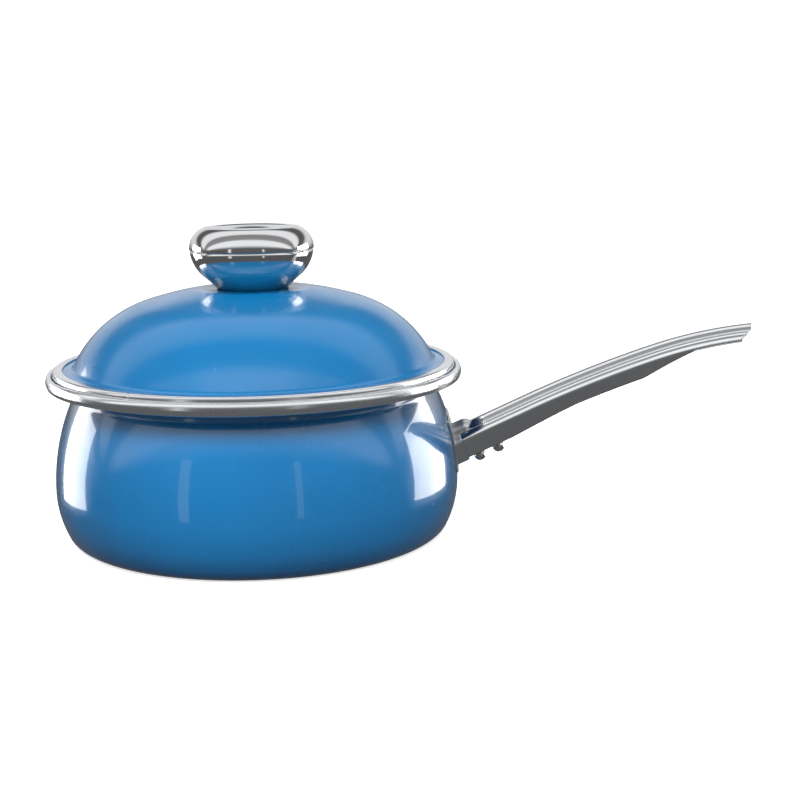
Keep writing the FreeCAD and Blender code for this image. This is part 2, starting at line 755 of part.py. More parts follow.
def wall_radius(height, offset):
    """Radius of the pot wall's outside, plus an offset, at a height above the belly."""
    return upper_centre[0] + root(square(upper_arc + offset) - square(height - belly_height))


bare_wall = as_size(0)
foot_strip = revolve("foot_strip", [
    (wall_radius(foot_low, bare_wall), foot_low),
    (wall_radius(foot_low, foot_thick), foot_low, upper_arc + foot_thick, 1),
    (wall_radius(foot_high, foot_thick), foot_high),
    (wall_radius(foot_high, bare_wall), foot_high, upper_arc, -1),
], angle=foot_angle)
foot_half = belly_radius * sine(foot_angle / 2)
foot_outline = new_body("foot_outline")
prism(foot_outline, "foot_outline_face", "YZ_Plane", [
    (foot_round - foot_half, foot_low),
    (foot_half - foot_round, foot_low, foot_round, 1),
    (foot_half, foot_low + foot_round),
    (foot_half, foot_high - foot_round, foot_round, 1),
    (foot_half - foot_round, foot_high),
    (foot_round - foot_half, foot_high, foot_round, 1),
    (-foot_half, foot_high - foot_round),
    (-foot_half, foot_low + foot_round, foot_round, 1),
], half=2 * belly_radius)
foot_plate = boolean("Part::MultiCommon", "foot_plate", [foot_strip, foot_outline])

arm_half = handle_half - handle_thick
arm_deck = -handle_thick
arm_low = handle_thick - skirt_root


def box_section(half, corner, deck, low):
    """Closed section with rounded shoulders on top and square corners below."""
    return [
        (-half, low),
        (half, low),
        (half, deck - corner, corner, 1),
        (half - corner, deck),
        (corner - half, deck, corner, 1),
        (-half, deck - corner),
    ]


def section_arm(label, sections, ahead, behind):
    """Body padded along the handle from a section with one hole, ahead of and behind the root."""
    body = new_body(label)
    sketch = new_sketch(body, label + "_section", "YZ_Plane")
    for section in sections:
        draw(sketch, section)
    if behind.value > 0:
        sketch.setExpression("AttachmentOffset.Base.z", (-behind).formula)
    feature = body.newObject("PartDesign::Pad", label + "_pad")
    feature.Profile = sketch
    feature.setExpression("Length", (ahead + behind).formula)
    sketch.Visibility = False
    return body


arm_tube = section_arm("arm_tube", [
    box_section(arm_half, shoulder_round - handle_thick, arm_deck, arm_low),
    box_section(arm_half - arm_thick, shoulder_round - handle_thick - arm_thick,
                arm_deck - arm_thick, arm_low + arm_thick),
], arm_inside, arm_outside)
drill(arm_tube, "arm_holes", arm_low + arm_thick)
hood_low = -(skirt_root + arm_step)
arm_hood = section_arm("arm_hood", [
    box_section(handle_half, shoulder_round, as_size(0), hood_low),
    box_section(handle_half - arm_thick, shoulder_round - arm_thick,
                -arm_thick, hood_low + arm_thick),
], as_size(0), arm_outside)

bead = new_body("arm_bead")
bead_sketch = new_sketch(bead, "bead_profile", "XZ_Plane")
nose_start = bead_reach - bead_radius
draw(bead_sketch, [
    (-arm_outside, bead_radius - arm_thick),
    (nose_start, bead_radius - arm_thick, bead_radius - arm_thick, -1),
    (bead_reach - arm_thick, 0),
    (bead_reach, 0, bead_radius, 1),
    (nose_start, bead_radius),
    (-arm_outside, bead_radius),
])
bead_turn = bead.newObject("PartDesign::Revolution", "bead_turned")
bead_turn.Profile = bead_sketch
bead_turn.ReferenceAxis = (bead_sketch, ["H_Axis"])
bead_turn.Midplane = True
bead_turn.setExpression("Angle", bead_wrap.formula)
bead_sketch.Visibility = False

for item in (arm_tube, arm_hood, bead):
    seat_on_slope(item, as_size(0))
core_low = foot_low - 2
core_high = foot_high + 2
wall_core = revolve("wall_core", [
    (belly_radius / 2, core_low),
    (wall_radius(core_low, bare_wall), core_low, upper_arc, 1),
    (wall_radius(core_high, bare_wall), core_high),
    (belly_radius / 2, core_high),
])
arm = boolean("Part::MultiFuse", "bracket_arm", [arm_tube, arm_hood, bead])
arm_trimmed = boolean("Part::Cut", "bracket_arm_trimmed", (arm, wall_core))
handle_bracket = boolean("Part::MultiFuse", "handle_bracket", [foot_plate, arm_trimmed])

# ---- checks and export -------------------------------------------------------------------------
doc.recompute()
for item in doc.Objects:
    if "Invalid" in item.State or "Error" in item.State:
        raise RuntimeError(f"{item.Name} did not build: {item.State}")

NODES = (
    "pot_shell", "pot_rim_band", "handle_bracket", "handle_channel",
    "rivet_rear", "rivet_front", "rivet_collar_rear", "rivet_collar_front",
    "lid_dome", "lid_edge_ring", "knob_base", "knob_cap", "knob_post", "knob_screw", "lid_washer",
)
for node in NODES:
    item = doc.getObject(node)
    shape = item.Shape
    if shape.isNull() or not shape.isValid() or len(shape.Solids) != 1:
        raise RuntimeError(f"{node} is not one valid solid")
    shape.exportStep(f"parts/{node}.step")
    box = shape.BoundBox
    print(f"{node:20s} {shape.Volume / 1000:8.2f} cm3   x {box.XMin:7.1f} {box.XMax:7.1f}"
          f"   z {box.ZMin:6.1f} {box.ZMax:6.1f}")
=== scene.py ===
# %% [markdown]
# # An enamelled saucepan, its lid and its long steel handle
# A saucepan of this kind is almost all turned work: the pot, the lid, their rolled steel edges and
# the knob are discs of sheet spun or pressed round one axis. Only the handle is different, a strip
# of steel pressed into an arched channel. This lesson therefore builds two kinds of surface, one
# turned about an axis and one carried along a bent line, and spends the rest of its time on
# finishes: glassy enamel, rolled stainless strip and mirror-polished pressings.
# All lengths are written in millimetres, as a workshop drawing would, and become metres at the end.

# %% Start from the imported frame
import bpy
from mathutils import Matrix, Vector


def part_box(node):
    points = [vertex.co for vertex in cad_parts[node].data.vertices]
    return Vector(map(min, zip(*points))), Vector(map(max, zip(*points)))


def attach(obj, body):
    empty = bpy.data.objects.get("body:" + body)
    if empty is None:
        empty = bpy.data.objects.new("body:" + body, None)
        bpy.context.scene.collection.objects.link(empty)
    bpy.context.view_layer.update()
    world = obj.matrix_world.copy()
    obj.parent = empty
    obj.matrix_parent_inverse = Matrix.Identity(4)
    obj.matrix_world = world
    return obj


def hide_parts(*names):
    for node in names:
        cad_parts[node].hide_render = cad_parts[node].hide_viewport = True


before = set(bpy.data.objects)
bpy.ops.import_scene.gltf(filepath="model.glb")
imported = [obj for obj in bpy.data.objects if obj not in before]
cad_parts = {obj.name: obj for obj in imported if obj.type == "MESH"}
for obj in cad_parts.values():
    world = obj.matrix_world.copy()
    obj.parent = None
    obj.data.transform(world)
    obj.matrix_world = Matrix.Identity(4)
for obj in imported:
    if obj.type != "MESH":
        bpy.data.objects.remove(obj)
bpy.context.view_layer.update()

import bpy
import numpy as np
from mathutils import Matrix, Vector

# %% [markdown]
# The strips and the knob take their main sizes from the frame: the box of a node gives heights and
# widest radii. The pot and the lid are built round those same numbers. The rivets use numbers of
# their own.

# %% Sizes read from the frame, in millimetres
def low_high(node):
    """Lowest and highest corner of a node, in millimetres."""
    low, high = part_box(node)
    return np.array(low) * 1000, np.array(high) * 1000


rim_low, rim_high = low_high("pot_rim_band")
ring_low, ring_high = low_high("lid_edge_ring")
cap_low, cap_high = low_high("knob_cap")
base_low, _ = low_high("knob_base")

WALL = 1.2
STRIP = 0.7
RIM_RADIUS = float(rim_high[1]) - 0.01
RIM_LOW, RIM_TOP = float(rim_low[2]), float(rim_high[2])
SEAT = float(ring_low[2])
RING_TOP = float(ring_high[2])
KNOB_SEAT = float(base_low[2])
KNOB_TOP = float(cap_high[2])
print("rim radius", round(RIM_RADIUS, 2), "seat", SEAT, "knob from", KNOB_SEAT, "to", KNOB_TOP)

# %% [markdown]
# ## Two ways to make a surface
# A turned piece could be a curve with a Screw modifier, but then its seam has to be merged and its
# poles closed by hand. Here the outline is an array of radius and height, and one multiplication by
# the cosine and sine of a ring of angles gives every vertex. Wrapping the last column of faces back
# to the first closes the seam, and an outline that touches the axis shares one vertex there.

# %% Points along arcs and rounded corners
def arc(centre, radius, start, end, count=16):
    """Points on a circle: centre plus radius times (cosine, sine) of angles from start to end."""
    angles = np.radians(np.linspace(start, end, count))
    return np.column_stack([centre[0] + radius * np.cos(angles),
                            centre[1] + radius * np.sin(angles)])


def heading(start, end):
    """Direction from one point to another as an angle in degrees."""
    return float(np.degrees(np.arctan2(end[1] - start[1], end[0] - start[0])))


def rounded(corners, radius, count=5):
    """Closed outline whose corners are cut back and bridged by a quadratic curve.

    Near a corner the point is (1-t)^2 before + 2t(1-t) corner + t^2 after, with t from 0 to 1.
    """
    corners = np.asarray(corners, float)
    before = np.roll(corners, 1, axis=0) - corners
    after = np.roll(corners, -1, axis=0) - corners
    reach_before = np.linalg.norm(before, axis=1, keepdims=True)
    reach_after = np.linalg.norm(after, axis=1, keepdims=True)
    cut = np.minimum(radius, 0.45 * np.minimum(reach_before, reach_after))
    first = corners + before / reach_before * cut
    last = corners + after / reach_after * cut
    t = np.linspace(0, 1, count)[None, :, None]
    curve = ((1 - t) ** 2 * first[:, None] + 2 * t * (1 - t) * corners[:, None]
             + t ** 2 * last[:, None])
    return curve.reshape(-1, 2)


print("a rounded square has", len(rounded([(0, 0), (4, 0), (4, 4), (0, 4)], 1)), "points")

# %% Turn an outline about the vertical axis
def put_mesh(name, points, faces, body, node):
    """Store millimetre points and faces as a smooth mesh that rides on a body."""
    mesh = bpy.data.meshes.new(name)
    mesh.from_pydata((np.asarray(points) / 1000).tolist(), [], faces)
    mesh.validate()
    mesh.polygons.foreach_set("use_smooth", np.ones(len(mesh.polygons), bool))
    mesh.update()
    piece = bpy.data.objects.new(name, mesh)
    bpy.context.collection.objects.link(piece)
    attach(piece, body)
    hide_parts(node)
    return piece


def grid_faces(rows, columns, wrap_rows=True):
    """Quads joining each vertex (i, j) of a grid to (i, j+1), (i+1, j+1) and (i+1, j)."""
    i = np.arange(rows if wrap_rows else rows - 1)[:, None]
    j = np.arange(columns)[None, :]
    down = (i + 1) % rows
    right = (j + 1) % columns
    quads = np.stack([i * columns + j, i * columns + right, down * columns + right,
                      down * columns + j], axis=-1)
    return quads.reshape(-1, 4)


def turned(name, outline, body, node, steps=256):
    """Surface of revolution: point = (r cos a, r sin a, h) for every outline point and angle a.

    The outline runs with the solid on its left. If it starts and ends on the axis it is closed by
    two fans of triangles that share one vertex each; otherwise it is a closed loop.
    """
    outline = np.asarray(outline, float)
    on_axis = outline[0, 0] < 1e-6 and outline[-1, 0] < 1e-6
    ring = outline[1:-1] if on_axis else outline
    angles = np.linspace(0, 2 * np.pi, steps, endpoint=False)
    x = ring[:, :1] * np.cos(angles)
    y = ring[:, :1] * np.sin(angles)
    z = np.broadcast_to(ring[:, 1:], x.shape)
    points = np.stack([x, y, z], axis=-1).reshape(-1, 3)
    faces = grid_faces(len(ring), steps, wrap_rows=not on_axis).tolist()
    if on_axis:
        here = np.arange(steps)
        after = (here + 1) % steps
        first, last = len(points), len(points) + 1
        points = np.vstack([points, [(0, 0, outline[0, 1]), (0, 0, outline[-1, 1])]])
        row = (len(ring) - 1) * steps
        faces += np.column_stack([np.full(steps, first), after, here]).tolist()
        faces += np.column_stack([np.full(steps, last), row + here, row + after]).tolist()
    return put_mesh(name, points, faces, body, node)


# %% [markdown]
# ## The pot
# The wall is one sheet drawn into a belly and necked in under the rim. A free curve could follow
# it, but press tools are made of arcs, and arcs that share a tangent give the clean, continuous
# reflections that gloss enamel shows up. Each arc starts where the last one ends, on the line
# through the two centres, so the outline never has a kink.

# %% The pot's outline
FLANGE_UNDER = SEAT - WALL
RIM_OVER, RING_INSET, NECK_INSET, FLANGE_GAP = 2.1, 3.3, 4.0, 0.2
BELLY_RADIUS, BELLY_HEIGHT = RIM_RADIUS - RIM_OVER, 24.6
CORNER, LOWER, NECK = 8.5, 45.5, 5.0
RING_RADIUS = RIM_RADIUS - RING_INSET
neck = np.array([RING_RADIUS - NECK_INSET, FLANGE_UNDER - NECK])
step_in, step_up = BELLY_RADIUS - neck[0], neck[1] - BELLY_HEIGHT
UPPER = (step_in ** 2 + step_up ** 2 - NECK ** 2) / (2 * (step_in + NECK))
lower = np.array([BELLY_RADIUS - LOWER, BELLY_HEIGHT])
upper = np.array([BELLY_RADIUS - UPPER, BELLY_HEIGHT])
corner = np.array([
    lower[0] + np.sqrt((LOWER - CORNER) ** 2 - (BELLY_HEIGHT - CORNER) ** 2), CORNER])


def wall_line(inset):
    """The wall's line from the base corner to the flange, moved inwards by an inset."""
    turn_low = heading(lower, corner)
    turn_high = heading(upper, neck)
    return np.vstack([
        arc(corner, CORNER - inset, -90, turn_low, 18),
        arc(lower, LOWER - inset, turn_low, 0, 28)[1:],
        arc(upper, UPPER - inset, 0, turn_high, 48)[1:],
        arc(neck, NECK + inset, turn_high + 180, 90, 16)[1:],
    ])


flange_edge = RIM_RADIUS - STRIP - FLANGE_GAP
EDGE_CUT = 0.2
outside, inside = wall_line(0.0), wall_line(WALL)[::-1]
base_row = np.linspace(0, corner[0], 22)[:-1]
pot_outline = np.vstack([
    np.column_stack([base_row, np.zeros(len(base_row))]),
    outside,
    [(flange_edge - EDGE_CUT, FLANGE_UNDER), (flange_edge, FLANGE_UNDER + EDGE_CUT),
     (flange_edge, SEAT - EDGE_CUT), (flange_edge - EDGE_CUT, SEAT)],
    inside,
    np.column_stack([base_row[::-1], np.full(len(base_row), WALL)]),
])
TURNS = 320
pot = turned("pot", pot_outline, "pan", "pot_shell", steps=TURNS)
print("belly arc", round(float(UPPER), 1), "pot rows", len(pot_outline))

# %% [markdown]
# ## Rolled steel edges
# A thin stainless strip is rolled round the raw edge of the enamelled sheet, so neither the pot nor
# the lid shows a cut edge. A solid bead would be easier to model, but the real strip is hollow, and
# what the eye picks up is its rounded shoulder, its gently bowed face and the dark gap beside it.
# The strip is a closed loop turned once round the axis.

# %% The strip round the pot's flange
HEM, BOW_LEG, RIM_WIDE = 1.0, 4.5, 2.7


def bowed_leg(outside_radius, low, top, thick):
    """Outer and inner points of a strip's outer leg, and where its flats meet its corners.

    The leg is one shallow arc whose centre lies half-way up. Each corner's circle touches it from
    inside, so the corner's centre is bow - corner away from the leg's centre.
    """
    middle = (low + top) / 2
    centre = (outside_radius - BOW_LEG, middle)
    flat_end = centre[0] + np.sqrt((BOW_LEG - HEM) ** 2 - (middle - low - HEM) ** 2)
    turn = heading(centre, (flat_end, top - HEM))
    outer = np.vstack([
        arc((flat_end, low + HEM), HEM, -90, -turn, 8),
        arc(centre, BOW_LEG, -turn, turn, 16)[1:],
        arc((flat_end, top - HEM), HEM, turn, 90, 8)[1:],
    ])
    inner = np.vstack([
        arc((flat_end, top - HEM), HEM - thick, 90, turn, 5),
        arc(centre, BOW_LEG - thick, turn, -turn, 9)[1:],
        arc((flat_end, low + HEM), HEM - thick, -turn, -90, 5)[1:],
    ])
    return outer, inner, flat_end


leg_outside, leg_inside, _ = bowed_leg(RIM_RADIUS, RIM_LOW, RIM_TOP, STRIP)
hem_radius = RIM_RADIUS - RIM_WIDE
rim_outline = np.vstack([
    [(hem_radius, FLANGE_UNDER)],
    arc((hem_radius + HEM, RIM_LOW + HEM), HEM, 180, 270, 9),
    leg_outside,
    arc((hem_radius + HEM, RIM_TOP - HEM), HEM, 90, 180, 9),
    [(hem_radius, SEAT), (hem_radius + STRIP, SEAT)],
    arc((hem_radius + HEM, RIM_TOP - HEM), HEM - STRIP, 180, 90, 5),
    leg_inside,
    arc((hem_radius + HEM, RIM_LOW + HEM), HEM - STRIP, 270, 180, 5),
    [(hem_radius + STRIP, FLANGE_UNDER)],
])
rim = turned("rim_strip", rim_outline, "pan", "pot_rim_band", steps=TURNS)
print("rim strip stands", round(RIM_TOP - RIM_LOW, 2), "mm tall")

# %% [markdown]
# The lid's strip has a wide top leg that laps over the blue flange, and it is butted: the two ends
# of the strip meet in a fine line at the front left. Cutting a slit would need a second mesh, so
# the strip's own columns are pressed in by a few tenths near that angle instead, which catches the
# light in the same way.

# %% The strip round the lid's flange
RING_THICK, RING_WIDE, RING_LIP, LIP_ROUND = 0.6, 2.8, 4.4, 0.25
FLANGE_TOP = RING_TOP - RING_THICK
foot_radius, lip = RING_RADIUS - RING_WIDE, RING_RADIUS - RING_LIP
leg_outside, leg_inside, flange_end = bowed_leg(RING_RADIUS, SEAT, RING_TOP, RING_THICK)
ring_outline = np.vstack([
    [(foot_radius, FLANGE_TOP - WALL)],
    arc((foot_radius + HEM, SEAT + HEM), HEM, 180, 270, 9),
    leg_outside,
    arc((lip + LIP_ROUND, RING_TOP - LIP_ROUND), LIP_ROUND, 90, 180, 5),
    [(lip, FLANGE_TOP)],
    leg_inside,
    arc((foot_radius + HEM, SEAT + HEM), HEM - RING_THICK, 270, 180, 5),
    [(foot_radius + RING_THICK, FLANGE_TOP - WALL)],
])
lid_ring = turned("lid_strip", ring_outline, "lid", "lid_edge_ring", steps=2 * TURNS)


def press_seam(piece, angle, width, depth):
    """Press a fine groove across a ring: move its top in and down by depth times exp(-(d/w)^2).

    Here d is the distance along the ring from the seam's angle and w is the groove's width.
    """
    mesh = piece.data
    flat = np.empty(len(mesh.vertices) * 3, np.float32)
    mesh.vertices.foreach_get("co", flat)
    points = flat.reshape(-1, 3).astype(float)
    radius = np.hypot(points[:, 0], points[:, 1])
    turn = np.arctan2(points[:, 1], points[:, 0]) - np.radians(angle)
    away = np.angle(np.exp(1j * turn)) * radius
    bell = np.exp(-(away / width) ** 2)
    top = points[:, 2] > np.mean(points[:, 2])
    scale = 1 - depth * bell * top / radius
    points[:, :2] *= scale[:, None]
    points[:, 2] -= depth * bell * top
    mesh.vertices.foreach_set("co", points.astype(np.float32).ravel())
    mesh.update()


press_seam(lid_ring, -120, 0.0006, 0.00025)
print("lid strip seam pressed at the front left")

# %% [markdown]
# ## The lid
# The lid is a shallow crown that turns down over a tighter shoulder, ends in a small fillet and
# lies flat under its steel strip. The knob stands on a flat seat pressed into the middle. Part of a
# sphere would be one arc, but it would rise too steeply at the edge, so the arcs share tangents as
# the pot's do.

# %% The lid's outline
CROWN, SHOULDER, FILLET = 1.79 * RIM_RADIUS, 0.568 * RIM_RADIUS, 3.0
CROWN_ANGLE, SEAT_RADIUS, HOLE = 17.0, 27.0, 2.7
crown = np.array([0.0, KNOB_SEAT - np.sqrt(CROWN ** 2 - SEAT_RADIUS ** 2)])
tilt = np.radians(CROWN_ANGLE)
shoulder = crown + (CROWN - SHOULDER) * np.array([np.sin(tilt), np.cos(tilt)])
fillet_height = FLANGE_TOP + FILLET
fillet = np.array([
    shoulder[0] + np.sqrt((SHOULDER + FILLET) ** 2 - (fillet_height - shoulder[1]) ** 2),
    fillet_height])


def dome_line(inset):
    """The dome's line from the seat out to the flange, moved inwards by an inset."""
    radius = CROWN - inset
    seat_edge = np.sqrt(radius ** 2 - (KNOB_SEAT - inset - crown[1]) ** 2)
    start = heading(crown, (seat_edge, KNOB_SEAT - inset))
    turn = heading(shoulder, fillet)
    return np.vstack([
        [(HOLE, KNOB_SEAT - inset), (SEAT_RADIUS - 1.5, KNOB_SEAT - inset)],
        arc(crown, radius, start, 90 - CROWN_ANGLE, 40),
        arc(shoulder, SHOULDER - inset, 90 - CROWN_ANGLE, turn, 44)[1:],
        arc(fillet, FILLET + inset, turn + 180, 270, 14)[1:],
        [(flange_end, FLANGE_TOP - inset)],
    ])


lid_outline = np.vstack([dome_line(WALL), dome_line(0.0)[::-1]])
lid = turned("lid", lid_outline, "lid", "lid_dome", steps=TURNS)
print("dome rises", round(KNOB_SEAT - FLANGE_TOP, 1), "mm above its flange")

# %% [markdown]
# ## The knob
# Two bright pressings snap together at a seam: a flared base that narrows to a foot, and a cap with
# a rolled edge round a shallow dish. Both are thin shells, so each outline runs up the outside and
# back down the inside.

# %% The knob's two shells
SHEET, SPIGOT_TALL, SPIGOT_GAP = 0.8, 2.0, 0.25
KNOB_RADIUS = round(float(cap_high[0]), 1)
SEAM = float(cap_low[2])
WAIST_INSET, WAIST_RISE, FOOT = 6.7, 5.4, 16.4
FLARE_BOW, BELLY_BOW, DISH_BOW, GAP_EDGE = 0.10, 1.10, 0.28, 0.02
waist, band = KNOB_RADIUS - WAIST_INSET, KNOB_RADIUS - SHEET / 2
spigot = KNOB_RADIUS - SHEET - SPIGOT_GAP


def bowed(start, end, bow, count=20):
    """Points from start to end along a parabola that bows to the right of the way by bow.

    The point is start + t (end - start) + 4 t (1 - t) bow times the right-hand normal.
    """
    start, end = np.asarray(start, float), np.asarray(end, float)
    t = np.linspace(0, 1, count)[:, None]
    along = end - start
    right = np.array([along[1], -along[0]]) / np.linalg.norm(along)
    return start + t * along + 4 * t * (1 - t) * bow * right


FOOT_CUT, BAND_CUT = 0.3, 0.35
foot_point = (FOOT, KNOB_SEAT + FOOT_CUT)
waist_point = (waist, KNOB_SEAT + WAIST_RISE)
band_point = (band, SEAM - SPIGOT_TALL)
inner_band = (band - SHEET, SEAM - SPIGOT_TALL)
inner_waist = (waist - SHEET, KNOB_SEAT + WAIST_RISE + SHEET / 2)
base_outline = np.vstack([
    [(HOLE, KNOB_SEAT), (FOOT - FOOT_CUT, KNOB_SEAT)],
    bowed(foot_point, waist_point, -FLARE_BOW),
    bowed(waist_point, band_point, BELLY_BOW)[1:],
    [(band, SEAM - BAND_CUT), (band - BAND_CUT, SEAM - GAP_EDGE)],
    [(spigot, SEAM - GAP_EDGE), (spigot, SEAM + SPIGOT_TALL), (spigot - SHEET, SEAM + SPIGOT_TALL)],
    bowed(inner_band, inner_waist, -BELLY_BOW),
    bowed(inner_waist, (FOOT - SHEET / 2, KNOB_SEAT + SHEET), FLARE_BOW)[1:],
    [(HOLE, KNOB_SEAT + SHEET)],
])
knob_base = turned("knob_base_shell", base_outline, "lid", "knob_base")

FLANK, EDGE, DISH_FLAT, DISH_DEPTH, DISH_ANGLE, SKIRT_TURN = 10.5, 4.5, 10.0, 1.6, 25.0, 1.4
flank = np.array([KNOB_RADIUS - FLANK, SEAM])
edge_height = KNOB_TOP - EDGE
edge = np.array([
    flank[0] + np.sqrt((FLANK - EDGE) ** 2 - (edge_height - flank[1]) ** 2), edge_height])
flank_turn = heading(flank, edge)


def cap_line(inset):
    """The cap's line from its skirt up over the edge and down into the dish, moved inwards."""
    rim_point = edge + (EDGE - inset) * np.array(
        [-np.sin(np.radians(DISH_ANGLE)), np.cos(np.radians(DISH_ANGLE))])
    floor = np.array([DISH_FLAT, KNOB_TOP - DISH_DEPTH - inset])
    return np.vstack([
        arc(flank, FLANK - inset, SKIRT_TURN, flank_turn, 22),
        arc(edge, EDGE - inset, flank_turn, 90 + DISH_ANGLE, 26)[1:],
        bowed(rim_point, floor, DISH_BOW, 16)[1:],
        [(DISH_FLAT / 2, floor[1]), (0.0, floor[1])],
    ])


cap_outline = np.vstack([
    cap_line(SHEET)[::-1],
    [(KNOB_RADIUS - SHEET, SEAM + GAP_EDGE), (KNOB_RADIUS - 0.25, SEAM + GAP_EDGE)],
    cap_line(0.0),
])
knob_cap = turned("knob_cap_shell", cap_outline, "lid", "knob_cap")
print("knob is", round(KNOB_TOP - KNOB_SEAT, 1), "mm tall and", 2 * KNOB_RADIUS, "mm wide")

# %% [markdown]
# ## The handle
# The handle is one strip of stainless pressed into an arch: two side skirts, rounded shoulders, a
# flat deck on each side and a raised rib down the middle. It leaves the pot at a slope and bows
# level towards its tip, where the skirts are trimmed away. A section carried along a bent line does
# this, with two things the line alone can't give: the skirts get shorter along the way, and both
# ends are cut to a curve seen from above. Both come from letting the section, and the distance each
# of its points travels, depend on the place across the handle.

# %% The line the handle follows
SLOPE = 24.5
ROOT = np.array([BELLY_RADIUS + 0.3, BELLY_HEIGHT + 20.4])
STRAIGHT, BOW, BOW_TURN, TIP_BOW, TIP_TURN = 34.0, 560.0, 6.5, 205.0, 13.0
bow_length = BOW * np.radians(BOW_TURN)
tip_length = TIP_BOW * np.radians(TIP_TURN)
LENGTH = STRAIGHT + bow_length + tip_length - 0.2


def spine(distance):
    """Place and turn of the handle's line at distances from its root.

    The turn is zero on the straight, grows as distance over radius on each bow, and the place adds
    up the chord of each stretch: sine of the turn along and cosine of the turn across.
    """
    d1 = np.clip(distance, None, STRAIGHT)
    d2 = np.clip(distance - STRAIGHT, 0, bow_length) / BOW
    d3 = np.clip(distance - STRAIGHT - bow_length, 0, None) / TIP_BOW
    base = np.radians(BOW_TURN)
    along = d1 + BOW * np.sin(d2) + TIP_BOW * (np.sin(base + d3) - np.sin(base)) * (d3 > 0)
    across = BOW * (np.cos(d2) - 1) + TIP_BOW * (np.cos(base + d3) - np.cos(base)) * (d3 > 0)
    return along, across, d2 + d3


def to_frame(distance, side, rise):
    """Turn handle measurements (distance along, side, rise off the deck) into frame millimetres."""
    along, across, turn = spine(distance)
    local_x = along + rise * np.sin(turn)
    local_z = across + rise * np.cos(turn)
    slope = np.radians(SLOPE)
    x = ROOT[0] + local_x * np.cos(slope) - local_z * np.sin(slope)
    z = ROOT[1] + local_x * np.sin(slope) + local_z * np.cos(slope)
    return np.stack([x, side, z], axis=-1)


tip = to_frame(np.array([LENGTH]), np.array([0.0]), np.array([2.5]))[0]
print("handle is", round(LENGTH, 1), "mm along its line, tip at", tip.round(1))

# %% The handle's section and how it changes
HALF, GAUGE, SHOULDER_R, RIB_HALF, RIB_RISE = 11.0, 1.0, 4.0, 4.6, 2.5
RIB_R = (RIB_HALF ** 2 + RIB_RISE ** 2) / (2 * RIB_RISE)
rib_angle = np.degrees(np.arcsin(RIB_HALF / RIB_R))


def half_section(inset):
    """Right half of the arch from the top of the rib to the foot of the shoulder, moved inwards.

    The rib is a circle that meets the deck in a tight concave fillet, as a press tool leaves it.
    """
    centre = (0.0, RIB_RISE - RIB_R)
    rib = arc(centre, RIB_R - inset, 90, 90 - rib_angle * 0.93, 13)
    foot = (RIB_HALF - 0.25 * inset + 0.75, -inset)
    bridge_t = np.linspace(0, 1, 6)[1:, None]
    knee = np.array([RIB_HALF - 0.25 * inset + 0.1, -inset])
    bridge = ((1 - bridge_t) ** 2 * rib[-1] + 2 * bridge_t * (1 - bridge_t) * knee
              + bridge_t ** 2 * foot)
    deck_end = HALF - SHOULDER_R
    shoulder_arc = arc((deck_end, -SHOULDER_R), SHOULDER_R - inset, 90, 0, 12)
    deck = np.column_stack([np.linspace(foot[0], deck_end, 4)[1:-1], np.full(2, -inset)])
    return np.vstack([rib, bridge, deck, shoulder_arc])


SKIRT_ROOT, SKIRT_MID, SKIRT_TIP, FLOOR_END = 11.1, 9.1, 3.9, 22.0


def skirt_depth(distance):
    """Depth of the skirts' lower edge under the deck, straight lines between four places."""
    grip_start = STRAIGHT + bow_length / 3
    grip_end = STRAIGHT + bow_length * 0.86
    thin = STRAIGHT + bow_length + tip_length * 0.38
    return np.interp(distance, [0, FLOOR_END, grip_start, grip_end, thin, LENGTH],
                     [SKIRT_ROOT, SKIRT_ROOT, SKIRT_MID, SKIRT_MID, SKIRT_TIP, SKIRT_TIP])


print("rib radius", round(RIB_R, 2), "mm; half section has", len(half_section(0.0)), "points")

# %% Carry the section along the line
BEAD, BEAD_REACH, TIP_ROUND = 4.6, 8.0, 12.1


